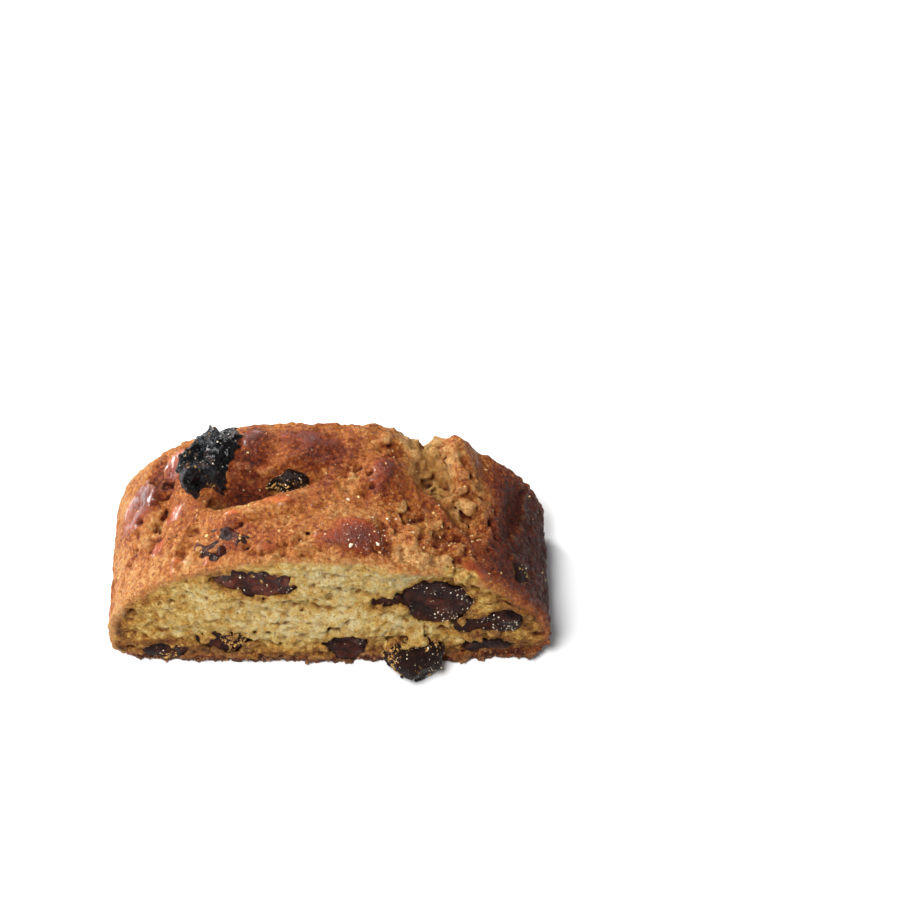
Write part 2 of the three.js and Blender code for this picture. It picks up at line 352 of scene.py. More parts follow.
def raisinField(grid, raisin):
    # distance to a folded raisin, and where it is sliced flesh
    seed, depth, level = raisin["seed"], raisin["fold"], raisinMake["foldLevel"]
    folds = 1 - np.abs(smoothNoise(grid, raisinMake["foldSpacing"], seed))
    creases = 1 - np.abs(smoothNoise(grid, raisinMake["creaseSpacing"], seed + 1))
    fine = np.abs(smoothNoise(grid, raisinMake["fineSpacing"], seed + 4))
    field = raisinOutline(grid.x, grid.y, grid.z, raisin)
    field = field + depth * (level - folds) + raisinMake["creaseShare"] * depth * (level - creases)
    field = field + raisinMake["fineShare"] * depth * (fine - 0.3)
    flesh = np.zeros(grid.counts, dtype=np.float32)
    if raisin["cut"]:
        plane = halfThickness - raisinMake["cutSink"]
        waves = 2 * smoothNoise(grid, raisinMake["flatSpacing"], seed + 2) + 1.6 * (creases - 0.7) + fine
        past = raisin["cut"] * grid.y - plane + raisinMake["flatRelief"] * waves
        flesh = smoothStep(-0.5, 0.3, past - field)
        field = smoothMax(field, past, 0.5)
    return smoothMax(field, 0.05 - grid.z, 0.2), flesh


def raisinMarks(grid, points, field, flesh, raisin):
    # what the material and the scattering read at each point of a raisin
    crowd = raisin["dust"]
    dustNoise = smoothNoise(grid, raisinMake["dustSpacing"], raisin["seed"] + 3)
    speckNoise = smoothNoise(grid, raisinMake["speckSpacing"], raisin["seed"] + 5)
    dust = smoothStep(0.3 - 0.3 * crowd, 0.8 - 0.3 * crowd, dustNoise) * crowd
    specks = smoothStep(-0.3, 0.4, speckNoise) * raisin["specks"]
    if raisin["cut"]:
        dust = dust * flesh
        specks = specks * flesh
    # how enclosed each point is, which the skins turn into painted shade in their folds
    solid = boxBlur((field < 0).astype(np.float32), raisinMake["hollowReach"])
    return {
        "flesh": np.maximum(grid.sample(flesh, points) * raisin["red"], raisin["wet"]),
        "hollow": grid.sample(solid, points),
        "dust": grid.sample(dust, points),
        "specks": grid.sample(specks, points),
    }


def makeRaisins(materials):
    made = []
    for name, raisin in raisins.items():
        reach = max(raisin["size"]) + raisinMake["margin"]
        low = [a - reach for a in raisin["at"]]
        high = [a + reach for a in raisin["at"]]
        grid = VolumeGrid(low, high, raisinMake["pitch"])
        field, flesh = raisinField(grid, raisin)
        points, faces = surfaceOf(grid, field)
        marks = raisinMarks(grid, points, field, flesh, raisin)
        piece = meshPiece(name.replace("raisin", "fruit"), points, faces, marks, materials[raisin["look"]])
        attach(piece, "root")
        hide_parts(name)
        made.append(piece)
    print("raisins:", len(made), "pieces,", sum(len(p.data.polygons) for p in made), "faces")
    return made


# Large forms of the crust from above: x, y, half sizes, turn in degrees, rise
crustForms = [
    (-15.5, 0.9, 8.0, 3.8, 0, -4.9),      # open split beside the scorched raisin
    (-6.0, 3.0, 8.0, 3.4, 16, -3.9),      # its shallower right half
    (-12.0, -4.6, 12.0, 3.0, 7, 1.5),     # front lip of the split
    (-7.0, 10.5, 11.0, 7.0, 0, 1.5),      # smooth rise behind the split
    (8.0, 13.5, 8.0, 5.0, 0, 1.0),
    (-16.2, 11.0, 6.4, 9.4, -12, 2.6),    # plate that laps the scorched raisin
    (11.5, 4.0, 5.5, 8.0, -14, 1.8),      # plate left of the crater
    (17.8, 17.5, 4.6, 5.0, 0, -2.9),      # crust broken away at the back edge
    (21.5, 7.5, 5.2, 7.0, 0, -4.4),       # crater that runs forward from it
    (26.5, -1.5, 8.0, 3.6, -52, -2.8),    # furrow out of the crater
    (27.0, 12.5, 4.5, 9.0, 8, 3.5),       # ridge on the crater's right
    (17.5, -5.5, 4.5, 3.4, 0, -2.0),      # pits in the rough front right
    (24.0, -8.5, 4.0, 2.6, 20, -1.8),
    (6.0, -10.5, 9.5, 6.0, 0, 1.1),       # glazed front plate
    (-32.5, 0.0, 15.0, 2.4, 84, -1.7),    # cracks down the left flank
    (-26.0, -9.0, 8.0, 2.2, 72, -1.4),
    (-38.0, 4.0, 7.0, 9.0, 0, 0.8),       # glazed plate on the left flank
    (37.0, 6.0, 10.0, 2.4, 80, -1.6),     # crack down the right flank
    (12.2, -11.3, 7.8, 1.7, -73, -1.5),   # furrow right of the front plate
    (-3.6, -12.0, 3.6, 1.8, 50, -1.0),    # small hollows left of it
    (-7.4, -15.8, 3.0, 1.2, 60, -0.8),
]

# Forms of the two cuts, seen square on: x, z, half sizes, turn in degrees, rise
frontForms = [
    (21.0, 20.0, 10.0, 9.0, 0, -1.5),     # crumb sunk round the big raisin
    (33.0, 12.0, 8.0, 4.5, 10, -1.1),
    (6.0, 12.5, 14.0, 5.5, -4, 1.2),      # full crumb in the middle
    (-3.0, 18.0, 8.0, 2.2, -12, -1.5),    # crease across the crumb
    (-21.0, 14.0, 11.0, 6.0, 0, 0.9),
    (-38.0, 11.0, 5.0, 6.0, 0, -0.8),
    (33.0, 4.0, 9.0, 4.5, 0, -1.2),
    (16.0, 29.5, 9.0, 2.8, -6, 1.2),      # crust edge that overhangs the cut
]
backForms = [
    (-18.0, 11.0, 13.0, 7.0, 10, 1.2),
    (8.0, 16.0, 11.0, 2.6, 8, -1.6),
    (25.0, 12.0, 10.0, 6.0, 0, 1.0),
    (-34.0, 10.0, 8.0, 6.0, 0, -1.1),
    (0.0, 26.0, 14.0, 5.0, -6, -0.9),
]

# Smooth glazed plates on the crust, from above: x, y, half sizes, turn, strength
glazedPlates = [
    (-38.6, 5.5, 4.6, 7.5, -12, 1.2),     # broad plate on the left end
    (-29.6, -0.3, 2.2, 3.6, -25, 1.1),
    (-32.8, -7.6, 1.3, 3.2, -20, 1.0),
    (-28.2, -14.6, 2.6, 3.2, -25, 1.1),
    (-22.2, -15.4, 1.8, 2.2, -20, 0.9),
    (-31.0, 12.5, 3.6, 5.0, 0, 0.7),
    (-15.0, 12.5, 3.0, 4.5, -12, 0.45),   # plate against the scorched raisin
    (-11.0, -3.9, 11.0, 2.2, 9, 0.75),    # lip of the split
    (-3.0, 12.5, 8.0, 3.6, 0, 0.7),
    (11.5, 5.0, 3.4, 8.0, -14, 0.7),
    (6.0, -11.6, 8.5, 6.2, 8, 0.85),      # front plate
    (-11.5, -14.5, 4.2, 3.0, 0, 0.6),
    (30.5, -14.5, 5.0, 3.0, 0, 0.55),
    (32.0, 12.0, 3.0, 6.0, 0, 0.5),
]

# Places where the crust is broken open or torn: x, y, half sizes, turn, strength
tornPlaces = [
    (18.6, 16.0, 5.6, 6.5, 0, 1.4),
    (21.5, 8.0, 5.6, 7.0, 0, 1.1),
    (26.5, 0.0, 8.5, 4.5, -52, 0.8),
    (19.5, -7.0, 9.0, 7.0, 0, 0.8),
    (14.2, -13.0, 6.0, 2.6, -73, 0.7),
    (31.0, 3.0, 4.0, 9.0, 8, 0.5),
    (-3.5, -12.0, 4.0, 3.2, 40, 0.6),
    (-7.4, -15.5, 3.0, 1.6, 60, 0.5),
    (6.5, 1.5, 7.0, 3.6, 0, 0.45),
    (-3.0, 4.5, 6.0, 2.8, 14, 0.6),
    (-13.0, 3.8, 9.0, 2.0, 10, 0.35),
]

# Rough lumpy places of the crust that are baked brown all the same: x, y, half sizes, turn, strength
craggyPlaces = [
    (18.5, -6.0, 7.5, 6.0, 0, 1.5),
    (29.5, 1.0, 5.5, 13.0, 10, 1.8),
    (24.0, -12.5, 9.0, 4.0, 0, 0.9),
    (3.0, 4.0, 8.0, 4.0, 12, 0.8),
    (13.0, 12.0, 5.0, 6.0, 0, 0.9),
    (-24.0, -13.0, 8.0, 5.0, 30, 0.7),
    (-33.0, -4.0, 6.0, 14.0, 0, 0.5),
    (-9.0, -15.0, 12.0, 3.0, 0, 0.6),
    (-12.0, 6.0, 12.0, 3.0, 6, 0.7),
]

# Browning of the crust, with painted shade at the right end and in the split, from above: x, y, half sizes,
# turn, change of tone
toastPatches = [
    (-40.0, 0.0, 12.0, 26.0, 0, -0.22),   # pale golden left end
    (-38.0, 5.0, 6.0, 9.0, -12, 0.3),
    (-6.0, -7.0, 26.0, 9.0, 0, -0.12),
    (-28.0, -12.0, 9.0, 8.0, 0, -0.2),
    (6.0, 2.0, 6.0, 7.0, 0, -0.16),
    (12.0, 5.0, 3.4, 8.0, -14, 0.16),
    (-2.0, 11.0, 13.0, 8.0, 0, 0.30),     # far plates
    (-15.5, 10.0, 5.5, 9.0, -10, 0.46),   # red-brown plate beside the scorched raisin
    (7.0, -12.0, 8.5, 6.0, 0, 0.34),      # front plate
    (-12.0, -4.2, 13.0, 2.8, 7, -0.1),    # golden lip
    (-14.5, 1.4, 12.0, 4.4, 8, 0.45),     # darker inside of the split: partly browned crust, partly painted shade under the lip
    (20.5, 12.0, 8.0, 10.0, 0, -0.25),    # pale round the crater
    (20.0, -6.0, 10.0, 6.0, 0, 0.12),
    (41.0, 0.0, 14.0, 28.0, 0, 0.68),     # right end darker: partly browner crust, partly a painted shadow
    (-20.0, -10.0, 8.0, 6.0, 24, 0.18),
    (20.0, -15.0, 8.0, 4.0, 0, -0.4),     # golden edge above the big raisin
]

# Where sugar and crumbs lie on the crust, from above: x, y, half sizes, turn, crowding
sugarPlaces = [
    (8.0, -12.0, 9.0, 7.0, 0, 1.0),
    (14.0, -6.0, 10.0, 6.0, 0, 0.25),
    (0.0, 0.0, 30.0, 20.0, 0, 0.02),
]
crumbPlaces = [
    (24.0, -17.0, 12.0, 3.0, 0, 0.7),
    (22.0, -8.0, 12.0, 7.0, 0, 0.35),
    (0.0, 0.0, 60.0, 40.0, 0, 0.05),
]

# Rise of each kind of relief on the slice
relief = {
    "crumbLump": 0.7,       # clumps on a cut
    "crumbMiddle": 0.7,
    "crumbCell": 1.3,       # round grains of the crumb
    "crumbGrain": 0.5,
    "poreDepth": 2.2,
    "crustLump": 0.45,
    "crustCell": 0.45,      # pebbly grains of the crust
    "crustGrain": 0.4,
    "pitDepth": 0.7,
    "crackDepth": 1.5,
    "plateStep": 0.2,       # a glazed plate stands out this far
    "tornLump": 1.5,
    "tornCell": 1.9,
    "cragLump": 0.5,
    "socketDepth": 1.6,     # the crumb is carved this deep round a raisin
}

# Noise that shapes the slice: spacing, one or one for each axis, and seed
sliceNoise = {
    "coarse": (8.0, 1),
    "medium": (3.6, 2),
    "broad": ((3.4, 2.6, 2.0), 8),
    "clumpy": ((1.8, 1.6, 1.3), 3),
    "grain": (0.9, 4),
    "holes": ((1.7, 1.5, 1.2), 5),
    "patches": (1.7, 9),
    "calm": (5.0, 10),
}
sliceGrains = {"cells": (1.9, 6), "pebbles": (1.15, 7)}

# Cracks in the crust's left flank
cracking = {
    "slant": 0.35,          # they climb this much for each millimetre to the back
    "spacing": 4.2,
    "length": 13.0,
    "seed": 11,
    "width": 0.13,
    "gapSpacing": 7.0,      # spacing of the breaks in them
    "gapSeed": 12,
    "elsewhere": 0.25,      # how strong they are off the flank
}

# Hollows carved out behind the lip of the split
splitHollows = [
    dict(at=(-16.8, -0.4, 28.8), size=(6.6, 3.2, 4.2), turn=(0, 0, 2)),
    dict(at=(-9.6, 1.4, 30.0), size=(5.8, 2.4, 3.2), turn=(0, 0, 20)),
]

# Deep pores and holes in the crust: x, y, z, radius
pits = [
    (-1.6, 4.2, 32.6, 0.9),
    (1.5, 9.0, 33.2, 0.7),
    (6.5, 5.5, 33.0, 0.9),
    (9.0, 3.2, 33.4, 0.7),
    (9.3, 0.4, 33.2, 0.8),
    (20.8, 6.8, 28.6, 1.1),
    (25.2, 6.2, 27.6, 1.3),
    (22.6, 3.4, 29.0, 1.0),
    (26.0, 1.0, 28.4, 1.2),
    (18.9, 10.2, 28.8, 1.0),
    (24.4, 9.6, 28.0, 0.9),
    (23.6, 12.4, 27.6, 0.8),
    (16.6, -2.8, 31.0, 0.9),
    (19.4, -6.6, 29.6, 1.0),
    (24.2, -5.8, 27.8, 0.9),
    (13.4, -8.6, 31.0, 0.8),
]
# Slits above the raisin under the crust, as short runs of holes: start, end, radius
slits = [
    ((-23.0, -13.2, 29.2), (-20.6, -11.4, 30.0), 1.1),
    ((-19.4, -10.4, 30.4), (-16.0, -8.0, 31.2), 1.25),
    ((-14.4, -13.6, 31.2), (-15.4, -11.2, 31.4), 1.15),
    ((-20.6, -15.0, 29.5), (-19.0, -14.2, 30.2), 1.3),
]
# Clumps of crumb that cling to the cut and to its raisins: x, y, z, radius
clumps = [
    (29.8, -18.0, 9.8, 1.5),
    (33.6, -17.8, 9.4, 1.1),
    (26.6, -17.8, 13.4, 1.2),
    (15.2, -17.9, 17.4, 1.1),
    (1.6, -17.9, 9.8, 1.5),
    (5.6, -17.9, 9.8, 1.2),
    (-18.4, -17.9, 8.2, 0.9),
    (-22.8, -17.9, 4.4, 0.8),
    (-24.6, -17.9, 7.4, 0.9),
    (-11.0, -18.0, 26.2, 0.7),
    (-34.0, -17.7, 4.2, 0.9),
    (24.8, -17.0, 27.9, 1.1),
    (27.0, -17.2, 27.0, 1.3),
    (28.8, -17.0, 25.8, 0.9),
    (13.4, -18.8, 7.4, 1.5),
    (16.2, -20.2, 8.4, 1.2),
    (19.6, -19.4, 8.2, 1.0),
    (12.2, -18.4, 4.8, 1.2),
]
carving = {
    "hollowReach": 8.0,     # the part of the grid that a hollow of the split can touch
    "hollowGrow": 0.2,
    "hollowBlend": 0.3,
    "holeReach": 2.0,       # the same round a hole, past its radius
    "pitHeight": 1.8,       # height of a pit for its width
    "pitBlend": 0.25,
    "slitHeight": 2.0,
    "slitShrink": 0.25,
    "slitBlend": 0.15,
    "slitStep": 0.8,        # about the spacing of a slit's holes
}


def ovalHole(place, radius, height):
    # distance to a ball drawn out upwards
    def shape(x, y, z):
        dx, dy, dz = x - place[0], y - place[1], (z - place[2]) / height
        return np.sqrt(dx ** 2 + dy ** 2 + dz ** 2) - radius
    return shape


def slitPlaces(start, end):
    steps = max(2, int(math.dist(start, end) / carving["slitStep"]))
    for n in range(steps):
        yield [a + (b - a) * n / (steps - 1) for a, b in zip(start, end)]


def carvedSlice(grid, field, noise):
    # hollows, pits, slits and sockets out of the slice, and clumps onto it
    cells, clumpy, medium, grain = (noise[name] for name in ("cells", "clumpy", "medium", "grain"))

    def carve(centre, reach, shape, blend, grow=0.0):
        window = grid.window(centre, reach)
        rough = 0.5 * medium[window] + 0.3 * clumpy[window] + 0.8 * cells[window]
        hole = shape(*grid.places(window)) - grow + rough
        field[window] = smoothMax(field[window], -hole, blend)

    for hollow in splitHollows:
        carve(hollow["at"], carving["hollowReach"], lambda x, y, z: ellipsoidDistance(x, y, z, hollow),
              carving["hollowBlend"], carving["hollowGrow"])
    for px, py, pz, radius in pits:
        hole = ovalHole((px, py, pz), radius, carving["pitHeight"])
        carve((px, py, pz), radius + carving["holeReach"], hole, carving["pitBlend"])
    for start, end, radius in slits:
        for place in slitPlaces(start, end):
            hole = ovalHole(place, radius, carving["slitHeight"])
            carve(place, radius + carving["holeReach"], hole, carving["slitBlend"], -carving["slitShrink"])

    for raisin in raisins.values():
        if raisin["socket"]:
            window = grid.window(raisin["at"], max(raisin["size"]) + 1)
            outline = raisinOutline(*grid.places(window), raisin) + 0.15
            outline = outline + 1.7 * cells[window] + 0.3 * (clumpy[window] - 0.25) + 0.4 * medium[window]
            socket = np.minimum(-outline, field[window] + relief["socketDepth"])
            field[window] = np.maximum(field[window], socket)

    for px, py, pz, radius in clumps:
        window = grid.window((px, py, pz), radius + 1)
        x, y, z = grid.places(window)
        clump = np.sqrt((x - px) ** 2 + ((y - py) * 1.4) ** 2 + ((z - pz) * 1.3) ** 2) - radius
        rough = 1.5 * (0.35 - clumpy[window]) + 0.9 * (0.3 - grain[window])
        field[window] = np.minimum(field[window], clump + rough)
    return field


def sliceNoises(grid):
    noise = {name: smoothNoise(grid, spacing, seed) for name, (spacing, seed) in sliceNoise.items()}
    for name in ("broad", "clumpy", "grain"):
        noise[name] = np.abs(noise[name])  # billows with creases between them
    noise["holes"] = np.maximum(noise["holes"] - 0.38, 0)  # pores that stand well apart
    noise["calm"] = smoothStep(-0.15, 0.5, noise["calm"])
    for name, (spacing, seed) in sliceGrains.items():
        noise[name] = cellNoise(grid, spacing, seed) - 0.45
    return noise


def plainLoaf(grid):
    # distance to the log, place across it from -1 to 1, and the way round its dome
    z = grid.z
    u = (grid.x + loaf["cutSkew"] * grid.y) / halfWidth
    across = (u + loaf["domeLean"] / halfWidth * (1 - u * u)) * halfWidth
    above = np.maximum(z - loaf["sideLevel"], 0)
    upper = ellipseDistance(across, above, halfWidth, domeRise)
    curl = np.maximum(np.abs(across) - (halfWidth - loaf["baseRounding"]), 0)
    sunk = np.maximum(loaf["sideLevel"] - z, 0.01)
    below = ellipseDistance(curl, sunk, loaf["baseRounding"], loaf["sideLevel"])
    lower = np.where(z < loaf["sideLevel"], below, np.maximum(curl - loaf["baseRounding"], -z))
    arc = np.arctan2(across / halfWidth, above / domeRise) * loaf["arcScale"]
    return np.maximum(upper, lower), u, arc


def crackStrength(grid, noise, u, arc, glazed, patchy):
    flank = smoothStep(16.0, 30.0, np.abs(arc)) * (u < 0)
    slanted = arc - cracking["slant"] * grid.y
    line = layNoise(slanted, grid.y, cracking["spacing"], cracking["length"], cracking["seed"])
    line = line + 0.12 * noise["medium"]
    line = line + 0.3 * (noise["clumpy"] - 0.3) + 0.15 * (noise["grain"] - 0.3)
    gaps = layNoise(slanted, grid.y, cracking["gapSpacing"], cracking["gapSpacing"], cracking["gapSeed"])
    strength = np.exp(-(line / cracking["width"]) ** 2) * smoothStep(-0.1, 0.3, gaps)
    strength = strength * (cracking["elsewhere"] + (1 - cracking["elsewhere"]) * flank) * (1 - glazed)
    return strength * smoothStep(-0.5, 0.1, patchy)


def crustWeights(grid, noise, u, arc):
    # how torn, craggy, glazed and cracked the crust is, from 0 to 1
    topShare = smoothStep(2.0, 7.0, grid.z)
    torn = np.clip(formRise(tornPlaces, grid.x, grid.y), 0, 1)
    craggy = np.clip(formRise(craggyPlaces, grid.x, grid.y), 0, 1)
    patchy = 0.75 * noise["medium"] + 0.5 * noise["patches"]
    plates = np.minimum(formRise(glazedPlates, grid.x, grid.y) * 1.5, 1.1)
    glazed = plates + patchy * topShare * np.minimum(1, 0.35 + 2 * plates)
    glazed = smoothStep(0.4, 1.05, glazed) * (1 - torn) * topShare
    return torn, craggy, glazed, crackStrength(grid, noise, u, arc, glazed, patchy)


def crustRelief(noise, torn, craggy, glazed, cracks):
    # lumps and pebbly grain, calmer in places and on the plates, with tears, crags and cracks
    clumpy, grain, holes = noise["clumpy"], noise["grain"], noise["holes"]
    rise = relief["crustLump"] * (clumpy - 0.3) + relief["crustGrain"] * (grain - 0.3)
    rise = rise + relief["crustCell"] * noise["pebbles"]
    rise = (rise * (1 - 0.6 * noise["calm"]) - relief["pitDepth"] * holes) * (1 - 0.75 * glazed)
    rise = rise + relief["plateStep"] * glazed - relief["crackDepth"] * cracks
    tearing = relief["tornLump"] * (clumpy - 0.35) + relief["crumbGrain"] * (grain - 0.3)
    tearing = tearing + relief["tornCell"] * noise["cells"]
    rise = rise + torn * (tearing - relief["poreDepth"] * holes)
    return rise + craggy * (1 - torn) * (1 - glazed) * (tearing + relief["cragLump"] * noise["medium"])


def crumbRelief(noise, depth, z):
    # clumps, grains and pores of a cut, lower near the crust but not at the base
    clumpy, grain = noise["clumpy"], noise["grain"]
    rise = relief["crumbMiddle"] * (noise["broad"] - 0.3) + relief["crumbLump"] * (clumpy - 0.33)
    rise = rise + relief["crumbCell"] * (0.6 * noise["cells"] + 0.6 * noise["pebbles"])
    rise = rise + relief["crumbGrain"] * (grain - 0.3)
    rise = rise - relief["poreDepth"] * noise["holes"] * smoothStep(0.5, 3.0, depth)
    full = np.maximum(smoothStep(0.2, 2.4, depth), smoothStep(6.0, 3.0, z))
    return rise * (0.35 + 0.65 * full)


def sliceField(grid):
    # distance to the finished slice, and what its finish depends on
    y, z = grid.y, grid.z
    noise = sliceNoises(grid)
    crust, u, arc = plainLoaf(grid)
    torn, craggy, glazed, cracks = crustWeights(grid, noise, u, arc)

    crust = crust - formRise(crustForms, grid.x, y) * smoothStep(2.0, 7.0, z)
    crust = crust - (0.5 * noise["coarse"] + 0.25 * noise["medium"]) * smoothStep(0.5, 3.0, z)
    depth = -crust
    crust = crust - crustRelief(noise, torn, craggy, glazed, cracks) * smoothStep(0.3, 2.0, z)

    taper = halfThickness * (1 - loaf["endTaper"] * u ** 2)
    front = -y - taper - formRise(frontForms, grid.x, z)
    back = y - taper - formRise(backForms, grid.x, z)
    cut = np.maximum(front, back) - crumbRelief(noise, depth, z)

    field = smoothMax(crust, cut, loaf["edgeWear"])
    field = carvedSlice(grid, field, noise)
    field = np.maximum(field, -z)
    weights = {
        "depth": depth,                             # below the crust
        "cut": smoothStep(-0.9, 0.3, cut - crust),  # on one of the two cuts
        "edge": smoothStep(-4.5, -0.3, cut - crust),
        "torn": torn,
        "glaze": glazed,
        "tone": noise["coarse"] + 0.7 * noise["medium"],
        "clump": noise["clumpy"],
        "cracks": cracks,
        "knobs": craggy * (1 - glazed) * (noise["clumpy"] - 0.3 + 0.6 * noise["cells"]),
    }
    return field, weights


def fruitNearness(points):
    nearest = np.full(len(points), 9.0, dtype=np.float32)
    for raisin in raisins.values():
        nearest = np.minimum(nearest, ellipsoidDistance(*points.T, raisin))
    return np.exp(-np.maximum(nearest, 0) / 1.1)


def clumpNearness(points):
    nearest = np.full(len(points), 9.0, dtype=np.float32)
    for px, py, pz, radius in clumps:
        nearest = np.minimum(nearest, np.linalg.norm(points - (px, py, pz), axis=1) - radius)
    return smoothStep(0.9, 0.1, nearest)


# Tone of the crust, from pale at 0 to dark at 1: its usual value and what each thing adds
toasting = {
    "usual": 0.385,
    "wander": 0.16,
    "glaze": 0.3,
    "torn": -0.3,
    "base": 0.75,
    # cracks are darkened with painted shade
    "cracks": 0.4,
    "edge": -0.26,          # beside a cut
    "knobs": -0.45,         # crowns of the craggy places
}
# Stain of the crumb, from fresh at 0 to brown at 1: its usual value and what each thing adds
staining = {
    "usual": 0.17,
    "wander": 0.18,
    "lower": 0.5,
    "baseLine": 1.2,
    "upper": -0.12,
    "fruit": 0.75,          # beside a raisin
    "sides": 0.45,          # beside the crust, low down
    "crust": 0.3,           # beside the crust anywhere
    "left": 0.4,
    "right": 0.45,
    "opened": 0.75,         # where the crust is torn or carved open
}


def toastTone(at, x, y, base):
    toast = toasting["usual"] + toasting["wander"] * at["tone"]
    toast = toast + formRise(toastPatches, x, y) * (1 - 0.5 * base)
    toast = toast + toasting["glaze"] * at["glaze"] + toasting["torn"] * at["torn"]
    toast = toast + toasting["base"] * base + toasting["cracks"] * at["cracks"]
    toast = toast + toasting["edge"] * at["edge"] * (0.7 + at["tone"]) * (1 - base)
    return toast + toasting["knobs"] * at["knobs"]


def crumbStain(at, points, bared):
    x, z = points[:, 0], points[:, 2]
    stain = staining["usual"] + staining["lower"] * smoothStep(11.0, 2.0, z)
    stain = stain + staining["baseLine"] * smoothStep(4.6, 1.4, z)
    stain = stain + staining["upper"] * smoothStep(16.0, 26.0, z)
    stain = stain + staining["fruit"] * fruitNearness(points)
    stain = stain + staining["sides"] * smoothStep(8.0, 1.5, at["depth"]) * smoothStep(24.0, 14.0, z)
    stain = stain + staining["left"] * smoothStep(-8.0, -34.0, x)
    stain = stain + staining["right"] * smoothStep(16.0, 36.0, x)
    stain = stain + staining["opened"] * bared
    stain = stain + staining["crust"] * smoothStep(5.0, 1.0, at["depth"])
    return stain + staining["wander"] * at["tone"]


def finishMarks(grid, points, weights, solid):
    # what the material and the scattering read at each point of the surface
    at = {name: grid.sample(np.broadcast_to(value, grid.counts), points) for name, value in weights.items()}
    x, y, z = points.T
    onCrust = 1 - at["cut"]
    ragged = 1.1 * (at["clump"] - 0.35)
    inside = smoothStep(0.3, 2.1, at["depth"] + ragged) * smoothStep(0.6, 3.4, z + 1.8 * ragged)
    tornShare = np.clip(at["torn"] * 1.2 - 0.5 - 0.5 * at["clump"], 0, 1) * onCrust
    opened = smoothStep(1.0, 2.2, at["depth"] + ragged) * onCrust * smoothStep(18.0, 25.0, z)
    crumb = np.maximum(at["cut"] * inside + 0.8 * tornShare, clumpNearness(points))
    crumb = np.maximum(crumb, 0.8 * opened)
    base = smoothStep(3.2, 0.4, z)
    above = smoothStep(6.0, 10.0, z)
    return {
        "crumb": np.clip(crumb, 0, 1),
        "toast": np.clip(toastTone(at, x, y, base), 0, 1),
        "stain": np.clip(crumbStain(at, points, np.maximum(tornShare, opened)), 0, 1.3),
        "glaze": at["glaze"] * onCrust,
        # how enclosed each point is, closely and more widely, which the dough turns into painted shade in
        # hollows and painted light on raised grains
        "hollow": grid.sample(boxBlur(solid, 2), points),
        "shade": grid.sample(boxBlur(solid, 6), points),
        "sugar": np.clip(formRise(sugarPlaces, x, y), 0, 1) * above * onCrust,
        "crumbs": np.clip(formRise(crumbPlaces, x, y), 0, 1) * above * onCrust,
        "rim": at["cut"] * smoothStep(3.0, 0.8, z),
    }


def makeSlice(material):
    margin = loaf["margin"]
    low = [-halfWidth - margin, -halfThickness - margin, -1.0]
    high = [halfWidth + margin, halfThickness + margin, loaf["height"] + loaf["headroom"]]
    grid = VolumeGrid(low, high, loaf["pitch"])
    field, weights = sliceField(grid)
    points, faces = surfaceOf(grid, field, loaf["adaptivity"])
    marks = finishMarks(grid, points, weights, (field < 0).astype(np.float32))
    piece = meshPiece("slice_of_biscotto", points, faces, marks, material)
    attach(piece, "root")
    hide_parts("biscotto")
    print("slice:", len(points), "points,", sum(len(face) - 2 for face in faces), "triangles")
    return piece


# Materials
def srgb(red, green, blue):
    def linear(value):
        share = value / 255
        return share / 12.92 if share <= 0.04045 else ((share + 0.055) / 1.055) ** 2.4
    return (linear(red), linear(green), linear(blue), 1.0)


def paint(value):
    # a socket as it is, or the shader's colour of an sRGB triple
    return value if isinstance(value, bpy.types.NodeSocket) else srgb(*value)


